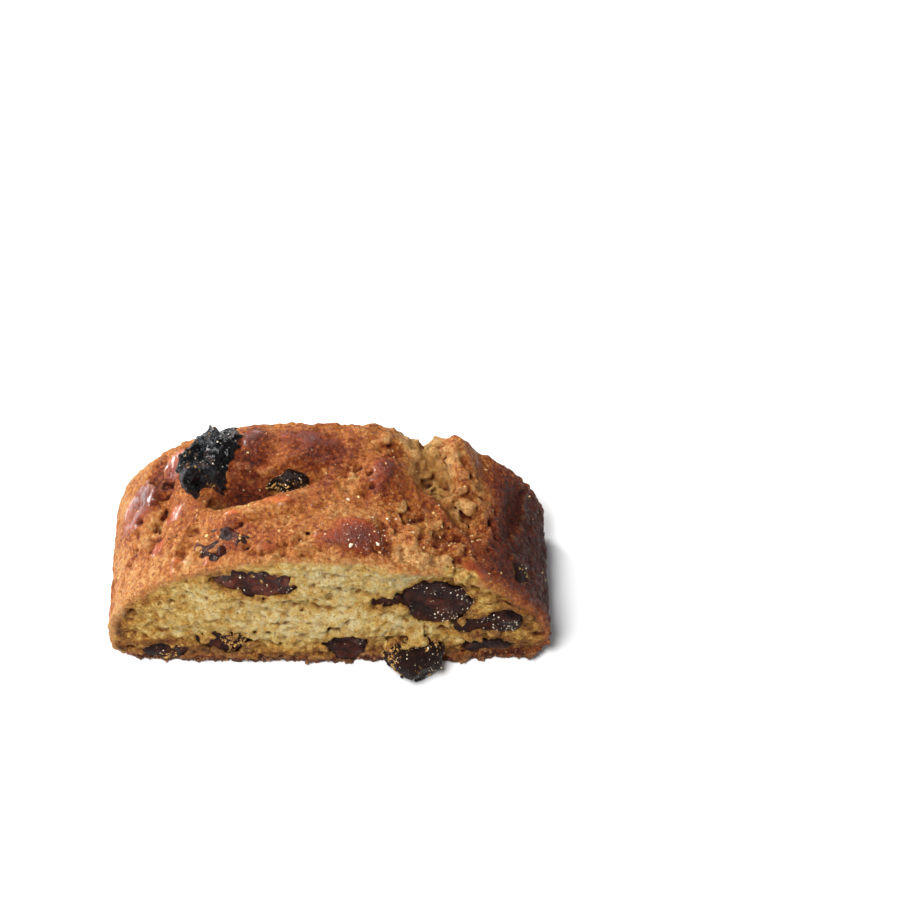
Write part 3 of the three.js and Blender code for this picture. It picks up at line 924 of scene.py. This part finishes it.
class ShaderBench:
    def __init__(self, name):
        self.material = bpy.data.materials.new(name)
        self.material.use_nodes = True
        self.tree = self.material.node_tree
        self.tree.nodes.clear()
        output = self.tree.nodes.new("ShaderNodeOutputMaterial")
        self.shader = self.tree.nodes.new("ShaderNodeBsdfPrincipled")
        self.tree.links.new(self.shader.outputs["BSDF"], output.inputs["Surface"])
        coordinates = self.tree.nodes.new("ShaderNodeTexCoord")
        self.place = coordinates.outputs["Object"]

    def feed(self, socket, value):
        if isinstance(value, bpy.types.NodeSocket):
            self.tree.links.new(value, socket)
        else:
            socket.default_value = value

    def mark(self, name):
        node = self.tree.nodes.new("ShaderNodeAttribute")
        node.attribute_name = name
        return node.outputs["Fac"]

    def noise(self, size, detail=3.0, roughness=0.6, stretch=None):
        # size is the rough width of one patch in millimetres
        node = self.tree.nodes.new("ShaderNodeTexNoise")
        node.inputs["Scale"].default_value = 1 / (size * mm)
        node.inputs["Detail"].default_value = detail
        node.inputs["Roughness"].default_value = roughness
        place = self.place
        if stretch:
            mapping = self.tree.nodes.new("ShaderNodeMapping")
            mapping.inputs["Scale"].default_value = stretch
            self.tree.links.new(self.place, mapping.inputs["Vector"])
            place = mapping.outputs["Vector"]
        self.tree.links.new(place, node.inputs["Vector"])
        return node.outputs["Fac"]

    def cells(self, size):
        node = self.tree.nodes.new("ShaderNodeTexVoronoi")
        node.inputs["Scale"].default_value = 1 / (size * mm)
        self.tree.links.new(self.place, node.inputs["Vector"])
        return node.outputs["Distance"]

    def math(self, operation, a, b=0.0):
        node = self.tree.nodes.new("ShaderNodeMath")
        node.operation = operation
        self.feed(node.inputs[0], a)
        self.feed(node.inputs[1], b)
        return node.outputs[0]

    def scaled(self, value, factor, base=0.0):
        product = self.math("MULTIPLY", value, factor)
        return self.math("ADD", product, base) if base else product

    def offset(self, value):
        return self.math("SUBTRACT", value, 0.5)

    def add(self, first, *others):
        for other in others:
            first = self.math("ADD", first, other)
        return first

    def tinted(self, color, tint):
        return self.mix(1.0, color, tint, "MULTIPLY")

    def tintedWhere(self, factor, color, tint):
        return self.mix(factor, color, self.tinted(color, tint))

    def span(self, value, low, high, toLow=0.0, toHigh=1.0):
        node = self.tree.nodes.new("ShaderNodeMapRange")
        node.interpolation_type = "SMOOTHSTEP"
        self.feed(node.inputs["Value"], value)
        for name, number in (("From Min", low), ("From Max", high), ("To Min", toLow), ("To Max", toHigh)):
            node.inputs[name].default_value = number
        return node.outputs["Result"]

    def ramp(self, value, stops):
        node = self.tree.nodes.new("ShaderNodeValToRGB")
        elements = node.color_ramp.elements
        while len(elements) < len(stops):
            elements.new(0.5)
        for element, (position, color) in zip(elements, stops):
            element.position = position
            element.color = paint(color)
        self.feed(node.inputs["Fac"], value)
        return node.outputs["Color"]

    def mix(self, factor, a, b, blend="MIX"):
        node = self.tree.nodes.new("ShaderNodeMix")
        node.data_type = "RGBA"
        node.blend_type = blend
        self.feed(node.inputs["Factor"], factor)
        self.feed(node.inputs[6], paint(a))
        self.feed(node.inputs[7], paint(b))
        return node.outputs[2]

    def bump(self, height, strength, distance, normal=None):
        node = self.tree.nodes.new("ShaderNodeBump")
        self.feed(node.inputs["Strength"], strength)
        node.inputs["Distance"].default_value = distance * mm
        self.feed(node.inputs["Height"], height)
        if normal is not None:
            self.feed(node.inputs["Normal"], normal)
        return node.outputs["Normal"]

    def finish(self, **values):
        for name, value in values.items():
            self.feed(self.shader.inputs[name.replace("_", " ")], value)
        return self.material


# Colours of the dough in sRGB. A ramp lists places from 0 to 1 with their colours.
doughColors = {
    "crust": [
        (0.0, (246, 188, 116)),
        (0.25, (226, 139, 62)),
        (0.5, (184, 89, 33)),
        (0.75, (136, 53, 21)),
        (1.0, (82, 29, 12)),
    ],
    "crumb": [
        (0.0, (92, 48, 20)),
        (0.25, (174, 112, 46)),
        (0.45, (226, 172, 80)),
        (0.62, (248, 210, 124)),
        (0.85, (255, 232, 172)),
    ],
    # painted highlight of the glints
    "glint": (252, 206, 160),
    "crown": (246, 196, 126),       # painted light on raised grains
    "speckTint": (128, 72, 48),     # a tint multiplies the colour under it
    # painted shade in the crumb's pores
    "amberTint": (236, 204, 142),
    # the crease, shade and pit tints are painted shade in hollows of the surface
    "poreShadeTint": (170, 108, 44),
    "creaseShadeTint": (158, 94, 42),
    "shadeTint": (154, 98, 54),
    "pitShadeTint": (92, 52, 30),
}
# Patches of the dough's finish: size, detail, roughness and stretch
doughPatches = {
    "broad": (6.0, 3.0),
    "mottle": (2.4, 4.0, 0.62),
    "grit": (0.6, 4.0, 0.75),
    "goldenAreas": (4.5, 3.0),
    "goldenGrains": (0.9, 5.0, 0.8),
    "seams": (1.5, 4.0, 0.65),      # dark lines between the grains of the crust
    "specks": (0.6, 2.0),
    "glints": (0.42, 2.0, 0.6),
    "clumps": (1.5, 4.0, 0.65),
    "pores": (0.8, 3.0, 0.6),
    "amber": (2.6, 3.0, 0.55),
    "sparkle": (1.2, 3.0, 0.7),
    "streaks": (1.8, 4.0, 0.6, (2.2, 0.8, 0.8)),
    "fine": (0.28, 3.0, 0.7),
}
pebbleSize = 0.85


def doughTextures(bench, dry):
    texture = {name: bench.noise(*facts) for name, facts in doughPatches.items()}
    for name in ("broad", "mottle", "grit", "clumps"):
        texture[name] = bench.offset(texture[name])
    texture["pebbles"] = bench.cells(pebbleSize)
    seams = bench.math("ABSOLUTE", bench.offset(texture["seams"]))
    texture["seams"] = bench.math("MULTIPLY", bench.span(seams, 0.035, 0.0), dry)
    specks = bench.span(texture["specks"], 0.62, 0.7)
    texture["specks"] = bench.math("MULTIPLY", specks, bench.scaled(dry, 0.4, 0.2))
    texture["pores"] = bench.span(texture["pores"], 0.6, 0.69)
    return texture


def crustColor(bench, texture, toast, dry):
    # golden to dark brown, mottled, with pebbly grain off the plates, and painted glints of light on the dry
    # crust
    tone = bench.add(toast, bench.scaled(texture["mottle"], 0.4), bench.scaled(texture["broad"], 0.5))
    tone = bench.add(tone, bench.math("MULTIPLY", texture["grit"], bench.scaled(dry, 0.3, 0.35)))
    pebbles = bench.math("SUBTRACT", texture["pebbles"], 0.42)
    tone = bench.add(tone, bench.math("MULTIPLY", pebbles, bench.scaled(dry, 0.4)))
    areas = bench.span(texture["goldenAreas"], 0.4, 0.6)
    golden = bench.math("MULTIPLY", bench.span(texture["goldenGrains"], 0.5, 0.64), areas)
    tone = bench.math("SUBTRACT", tone, bench.math("MULTIPLY", golden, bench.scaled(dry, 0.32)))
    tone = bench.add(tone, bench.scaled(texture["seams"], 0.2))
    color = bench.ramp(tone, doughColors["crust"])
    color = bench.tintedWhere(texture["specks"], color, doughColors["speckTint"])
    # painted glints of light
    glints = bench.math("MULTIPLY", bench.span(texture["glints"], 0.62, 0.7), bench.scaled(dry, 0.5, 0.1))
    glints = bench.math("MULTIPLY", glints, bench.span(toast, 0.35, 0.9, 1.0, 0.2))
    return bench.mix(glints, color, doughColors["glint"])


def crumbColor(bench, texture, stain):
    # pale straw with yellower clumps, browner near the base and the raisins, full of fine pores darkened with
    # painted shade
    clumps = bench.scaled(texture["clumps"], 1.1)
    tone = bench.add(0.78, clumps, bench.scaled(texture["grit"], 0.7), bench.scaled(stain, -0.44))
    tone = bench.add(tone, bench.scaled(texture["broad"], 0.4))
    color = bench.ramp(tone, doughColors["crumb"])
    amber = bench.span(texture["amber"], 0.54, 0.64, 0.0, 0.5)
    color = bench.tintedWhere(amber, color, doughColors["amberTint"])
    # painted shade in the pores
    return bench.tintedWhere(bench.scaled(texture["pores"], 0.7), color, doughColors["poreShadeTint"])


def paintedShadeAndLight(bench, color, hollow, shade):
    # painted shade: creases and pits turn browner and darker; painted light: raised grains paler
    color = bench.tintedWhere(bench.span(hollow, 0.5, 0.76), color, doughColors["creaseShadeTint"])
    color = bench.tintedWhere(bench.span(shade, 0.6, 0.86, 0.0, 0.7), color, doughColors["shadeTint"])
    color = bench.tintedWhere(bench.span(hollow, 0.7, 0.86), color, doughColors["pitShadeTint"])
    return bench.mix(bench.span(hollow, 0.46, 0.3, 0.0, 0.12), color, doughColors["crown"])


def doughNormal(bench, texture, glaze, crumb):
    grain = bench.add(bench.scaled(texture["pebbles"], -0.8), bench.scaled(texture["grit"], 2.8),
                      bench.scaled(texture["mottle"], 1.2))
    brushed = bench.math("MULTIPLY", texture["streaks"], bench.scaled(glaze, 2.4))
    grain = bench.add(grain, bench.scaled(texture["seams"], -0.7), brushed)
    grain = bench.math("SUBTRACT", grain, bench.math("MULTIPLY", texture["pores"], bench.scaled(crumb, 0.9)))
    grain = bench.math("SUBTRACT", grain, bench.scaled(texture["specks"], 0.8))
    normal = bench.bump(grain, bench.span(glaze, 0.2, 1.0, 1.0, 0.45), 0.95)
    return bench.bump(texture["fine"], bench.span(glaze, 0.2, 1.0, 0.8, 0.5), 0.2, normal)


def bakedDough():
    bench = ShaderBench("baked_dough")
    crumb, toast, glaze = (bench.mark(name) for name in ("crumb", "toast", "glaze"))
    hollow, shade, stain = (bench.mark(name) for name in ("hollow", "shade", "stain"))
    dry = bench.math("SUBTRACT", 1.0, glaze)
    texture = doughTextures(bench, dry)
    color = bench.mix(crumb, crustColor(bench, texture, toast, dry), crumbColor(bench, texture, stain))
    color = paintedShadeAndLight(bench, color, hollow, shade)

    # gloss on the glazed plates, dry elsewhere
    sparkle = bench.span(texture["sparkle"], 0.45, 0.62, 0.75, 0.32)
    dryness = bench.math("MAXIMUM", sparkle, bench.scaled(crumb, 0.85))
    polish = bench.math("MULTIPLY", glaze, bench.span(texture["streaks"], 0.44, 0.58, 0.1, 1.0))
    roughness = bench.math("MINIMUM", dryness, bench.span(polish, 0.0, 1.0, 0.9, 0.18))
    normal = doughNormal(bench, texture, glaze, crumb)
    return bench.finish(Base_Color=color, Roughness=roughness, Normal=normal, Specular_IOR_Level=0.3,
                        Coat_Weight=bench.scaled(polish, 0.75), Coat_Roughness=0.2,
                        Subsurface_Weight=0.08, Subsurface_Radius=(1.0, 0.5, 0.22), Subsurface_Scale=0.0008)


raisinColors = {
    "skin": [(0.3, (16, 8, 7)), (0.55, (34, 16, 12)), (0.75, (64, 30, 20))],
    "flesh": [(0.3, (20, 7, 5)), (0.5, (46, 16, 11)), (0.7, (94, 38, 20))],
    "frost": (206, 184, 164),       # dried sugar on the skin
    # painted shade in the folds of the skin
    "fold": (10, 6, 5),
    "scorched": [(0.3, (5, 6, 8)), (0.55, (11, 13, 16)), (0.72, (34, 25, 22))],
    "scorchedRed": (84, 34, 24),    # where the skin isn't burnt through
    # painted shade in the folds of the burnt skin
    "scorchedFoldShade": (6, 4, 4),
    "scorchedGleam": (206, 222, 240),
}


def raisinSkin():
    bench = ShaderBench("raisin_skin")
    flesh, hollow = bench.mark("flesh"), bench.mark("hollow")
    skinColor = bench.ramp(bench.noise(1.6, 4.0, 0.65), raisinColors["skin"])
    fleshColor = bench.ramp(bench.noise(3.2, 3.0, 0.55), raisinColors["flesh"])
    color = bench.mix(flesh, skinColor, fleshColor)
    frost = bench.span(bench.noise(0.5, 4.0, 0.75), 0.6, 0.68)
    frost = bench.math("MULTIPLY", frost, bench.span(bench.noise(3.6, 2.0), 0.5, 0.6))
    color = bench.mix(bench.scaled(frost, 0.6), color, raisinColors["frost"])
    # painted shade in the folds of the skin, from the hollow mark
    color = bench.mix(bench.span(hollow, 0.52, 0.76, 0.0, 0.8), color, raisinColors["fold"])
    gloss = bench.math("MULTIPLY", flesh, bench.span(bench.noise(2.6, 2.0), 0.42, 0.6))
    texture = bench.add(bench.offset(bench.noise(0.5, 4.0, 0.65)), bench.offset(bench.noise(1.8, 2.0)))
    normal = bench.bump(texture, bench.span(flesh, 0.0, 1.0, 0.8, 0.4), 0.8)
    return bench.finish(Base_Color=color, Roughness=bench.span(gloss, 0.0, 1.0, 0.5, 0.2), Normal=normal,
                        Specular_IOR_Level=0.12, Coat_Weight=bench.scaled(gloss, 0.12), Coat_Roughness=0.1)


def scorchedSkin():
    bench = ShaderBench("scorched_skin")
    hollow = bench.mark("hollow")
    color = bench.ramp(bench.noise(1.8, 5.0, 0.65), raisinColors["scorched"])
    redness = bench.span(bench.noise(4.0, 4.0, 0.6), 0.56, 0.66, 0.0, 0.8)
    color = bench.mix(redness, color, raisinColors["scorchedRed"])
    # painted shade in the folds, from the hollow mark
    color = bench.mix(bench.span(hollow, 0.5, 0.74, 0.0, 0.85), color, raisinColors["scorchedFoldShade"])
    roughness = bench.span(bench.noise(0.8, 4.0), 0.3, 0.7, 0.16, 0.45)
    facets = bench.math("ABSOLUTE", bench.offset(bench.noise(1.6, 4.0, 0.6)))
    texture = bench.add(bench.offset(bench.noise(0.5, 4.0, 0.7)), bench.scaled(facets, 5.0))
    return bench.finish(Base_Color=color, Roughness=roughness, Normal=bench.bump(texture, 1.0, 1.0),
                        Specular_IOR_Level=0.4, Coat_Weight=0.2, Coat_Roughness=0.08,
                        Coat_Tint=paint(raisinColors["scorchedGleam"]))


# Finish of each kind of loose grain: material name, darkest and palest colour, roughness
grainLooks = {
    "sugar": ("sugar_grain", (222, 196, 156), (246, 236, 214), 0.4),
    "paleCrumb": ("pale_crumb", (206, 150, 84), (238, 208, 146), 0.8),
    "darkCrumb": ("dark_crumb", (84, 48, 28), (150, 100, 56), 0.8),
    "goldenCrumb": ("golden_crumb", (84, 46, 22), (206, 158, 84), 0.8),
}


def grainFinish(name, darkest, palest, roughness):
    bench = ShaderBench(name)
    color = bench.ramp(bench.noise(1.1, 3.0), [(0.35, darkest), (0.65, palest)])
    normal = bench.bump(bench.noise(0.25, 3.0), 0.4, 0.1)
    return bench.finish(Base_Color=color, Roughness=roughness, Normal=normal,
                        Subsurface_Weight=0.1, Subsurface_Radius=(1.0, 0.7, 0.4), Subsurface_Scale=0.0005)


# Crumbs and sugar, scattered over a piece by Geometry Nodes: the mark that crowds them, how many
# lie on a square millimetre where it is full, and their least and greatest radius
scatters = {
    "sugar_grains": dict(over="slice", weight="sugar", density=0.7, smallest=0.07, largest=0.2, seed=3,
                         look="sugar"),
    "sugar_flakes": dict(over="slice", weight="sugar", density=0.02, smallest=0.35, largest=0.6, seed=9,
                         look="sugar"),
    "pale_crumbs": dict(over="slice", weight="crumbs", density=0.6, smallest=0.1, largest=0.36, seed=8,
                        look="paleCrumb"),
    "rim_crumbs": dict(over="slice", weight="rim", density=1.2, smallest=0.12, largest=0.42, seed=12,
                       look="darkCrumb"),
    "fine_bits": dict(over="fruit", weight="specks", density=1.6, smallest=0.06, largest=0.2, seed=21,
                      look="sugar"),
    "golden_crumbs": dict(over="fruit", weight="dust", density=3.0, smallest=0.1, largest=0.36, seed=5,
                          look="goldenCrumb"),
}

grainMake = {
    "segments": 6,
    "rings": 4,
    "slimmest": (0.5, 0.5, 0.35),   # least and most stretch of a grain along its axes
    "fullest": (1.5, 1.1, 0.8),
    "lumpSize": 0.45,
    "lumpPush": 2.4,                # how far lumps push it out of shape, in its greatest radii
}


def scatterTree(name, weightName, material):
    tree = bpy.data.node_groups.new(name, "GeometryNodeTree")
    face = tree.interface
    face.new_socket("Geometry", in_out="INPUT", socket_type="NodeSocketGeometry")
    for label in ("Density", "Smallest", "Largest"):
        face.new_socket(label, in_out="INPUT", socket_type="NodeSocketFloat")
    face.new_socket("Seed", in_out="INPUT", socket_type="NodeSocketInt")
    face.new_socket("Geometry", in_out="OUTPUT", socket_type="NodeSocketGeometry")

    def node(kind, sockets, **settings):
        # a node with its inputs linked or set, as its outputs
        made = tree.nodes.new(kind)
        for key, value in settings.items():
            setattr(made, key, value)
        for key, value in sockets.items():
            if isinstance(value, bpy.types.NodeSocket):
                tree.links.new(value, made.inputs[key])
            else:
                made.inputs[key].default_value = value
        return made.outputs

    given = node("NodeGroupInput", {})
    weight = node("GeometryNodeInputNamedAttribute", {"Name": weightName}, data_type="FLOAT")
    crowd = node("ShaderNodeMath", {0: weight["Attribute"], 1: given["Density"]}, operation="MULTIPLY")
    points = node("GeometryNodeDistributePointsOnFaces", {
        "Mesh": given["Geometry"], "Density": crowd[0], "Seed": given["Seed"]}, distribute_method="RANDOM")

    # one grain, sized, stretched and turned at random
    grain = node("GeometryNodeMeshUVSphere", {
        "Segments": grainMake["segments"], "Rings": grainMake["rings"], "Radius": 1.0})
    size = node("FunctionNodeRandomValue", {2: given["Smallest"], 3: given["Largest"]}, data_type="FLOAT")
    shape = node("FunctionNodeRandomValue", {0: grainMake["slimmest"], 1: grainMake["fullest"]},
                 data_type="FLOAT_VECTOR")
    scale = node("ShaderNodeVectorMath", {0: shape[0], "Scale": size[1]}, operation="SCALE")
    turn = node("FunctionNodeRandomValue", {1: (math.tau, math.tau, math.tau)}, data_type="FLOAT_VECTOR")
    place = node("GeometryNodeInstanceOnPoints", {
        "Points": points["Points"], "Instance": grain["Mesh"], "Rotation": turn[0], "Scale": scale[0]})
    real = node("GeometryNodeRealizeInstances", {"Geometry": place["Instances"]})

    # lumps push it out of shape
    lumps = node("ShaderNodeTexNoise", {"Scale": 1 / (grainMake["lumpSize"] * mm), "Detail": 1.0})
    centred = node("ShaderNodeVectorMath", {0: lumps["Color"], 1: (0.5, 0.5, 0.5)}, operation="SUBTRACT")
    reach = node("ShaderNodeMath", {0: given["Largest"], 1: grainMake["lumpPush"]}, operation="MULTIPLY")
    push = node("ShaderNodeVectorMath", {0: centred[0], "Scale": reach[0]}, operation="SCALE")
    shift = node("GeometryNodeSetPosition", {"Geometry": real["Geometry"], "Offset": push[0]})
    dress = node("GeometryNodeSetMaterial", {"Geometry": shift["Geometry"], "Material": material})
    node("NodeGroupOutput", {"Geometry": dress["Geometry"]})
    return tree


def joinedCopy(pieces):
    # one mesh of all the carriers, for scattering only
    if len(pieces) == 1:
        return pieces[0].data
    points, faces = [], []
    values = {"dust": [], "specks": []}
    for piece in pieces:
        start = len(points)
        points += [v.co[:] for v in piece.data.vertices]
        faces += [[start + v for v in face.vertices] for face in piece.data.polygons]
        for name, gathered in values.items():
            gathered += [item.value for item in piece.data.attributes[name].data]
    mesh = bpy.data.meshes.new("fruit_for_scattering")
    mesh.from_pydata(points, [], faces)
    for name, gathered in values.items():
        mesh.attributes.new(name, "FLOAT", "POINT").data.foreach_set("value", gathered)
    return mesh


def scatterOver(name, carrier, facts, material):
    tree = scatterTree(name, facts["weight"], material)
    holder = bpy.data.objects.new(name + "_holder", carrier)
    bpy.context.collection.objects.link(holder)
    modifier = holder.modifiers.new("scatter", "NODES")
    modifier.node_group = tree
    values = {
        "Density": facts["density"] / mm ** 2,
        "Smallest": facts["smallest"] * mm,
        "Largest": facts["largest"] * mm,
        "Seed": facts["seed"],
    }
    for item in tree.interface.items_tree:
        if item.in_out == "INPUT" and item.name in values:
            modifier[item.identifier] = values[item.name]
    evaluated = holder.evaluated_get(bpy.context.evaluated_depsgraph_get())
    mesh = bpy.data.meshes.new_from_object(evaluated)
    holder.modifiers.remove(modifier)
    bpy.data.objects.remove(holder)
    mesh.name = name
    places = np.zeros(3 * len(mesh.vertices), dtype=np.float32)
    mesh.vertices.foreach_get("co", places)
    places[2::3] = np.maximum(places[2::3], 0)  # nothing sinks into the table
    mesh.vertices.foreach_set("co", places)
    piece = bpy.data.objects.new(name, mesh)
    bpy.context.collection.objects.link(piece)
    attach(piece, "root")
    print(name + ":", len(mesh.polygons), "faces")
    return piece


# Stage, light and camera: colours are sRGB and the lights' power is in watts
studio = {
    "lens": 90.0,
    "sensor": 36.0,
    "camera": (24.547, -289.077, 365.111),
    "elevation": 48.0,
    "nearest": 10.0,        # nothing closer to the camera shows
    "floorHalf": 900.0,
    "floorColor": (244, 244, 244),
    "surround": 0.24,       # strength of the even light from all round
}
lamps = {
    "window": dict(place=(-400, 340, 230), aim=(0, 0, 15), size=220, power=4.1),
    "overhead": dict(place=(-140, -260, 520), aim=(0, 0, 10), size=260, power=4.3),
}


def areaLight(name, facts):
    light = bpy.data.lights.new(name, "AREA")
    light.shape = "DISK"
    light.size = facts["size"] * mm
    light.energy = facts["power"]
    lamp = bpy.data.objects.new(name, light)
    place, aim = Vector(facts["place"]) * mm, Vector(facts["aim"]) * mm
    lamp.location = place
    lamp.rotation_euler = (aim - place).to_track_quat("-Z", "Y").to_euler()
    bpy.context.collection.objects.link(lamp)


def makeFloor():
    half = studio["floorHalf"] * mm
    corners = [(-half, -half, 0), (half, -half, 0), (half, half, 0), (-half, half, 0)]
    mesh = bpy.data.meshes.new("floor")
    mesh.from_pydata(corners, [], [(0, 1, 2, 3)])
    finish = ShaderBench("pale_floor")
    mesh.materials.append(finish.finish(Base_Color=paint(studio["floorColor"]), Roughness=0.9))
    floor = bpy.data.objects.new("floor", mesh)
    bpy.context.collection.objects.link(floor)


def makeStudio():
    makeFloor()
    for name, facts in lamps.items():
        areaLight(name, facts)
    world = bpy.data.worlds.new("studio")
    world.use_nodes = True
    background = world.node_tree.nodes["Background"]
    background.inputs["Color"].default_value = (1, 1, 1, 1)
    background.inputs["Strength"].default_value = studio["surround"]
    bpy.context.scene.world = world

    camera = bpy.data.cameras.new("camera")
    camera.lens = studio["lens"]
    camera.sensor_width = studio["sensor"]
    camera.clip_start = studio["nearest"] * mm
    eye = bpy.data.objects.new("camera", camera)
    eye.location = [v * mm for v in studio["camera"]]
    eye.rotation_euler = (math.radians(90 - studio["elevation"]), 0, 0)
    bpy.context.collection.objects.link(eye)
    bpy.context.scene.camera = eye
    bpy.context.scene.view_settings.view_transform = "Standard"
    print("studio:", len(lamps), "lights")


makeStudio()
looks = {"dough": bakedDough(), "raisin": raisinSkin(), "scorched": scorchedSkin()}
for name, facts in grainLooks.items():
    looks[name] = grainFinish(*facts)
print("materials:", len(looks))
biscotto = makeSlice(looks["dough"])
fruit = makeRaisins(looks)
for name, facts in scatters.items():
    carriers = [biscotto] if facts["over"] == "slice" else fruit
    scatterOver(name, joinedCopy(carriers), facts, looks[facts["look"]])
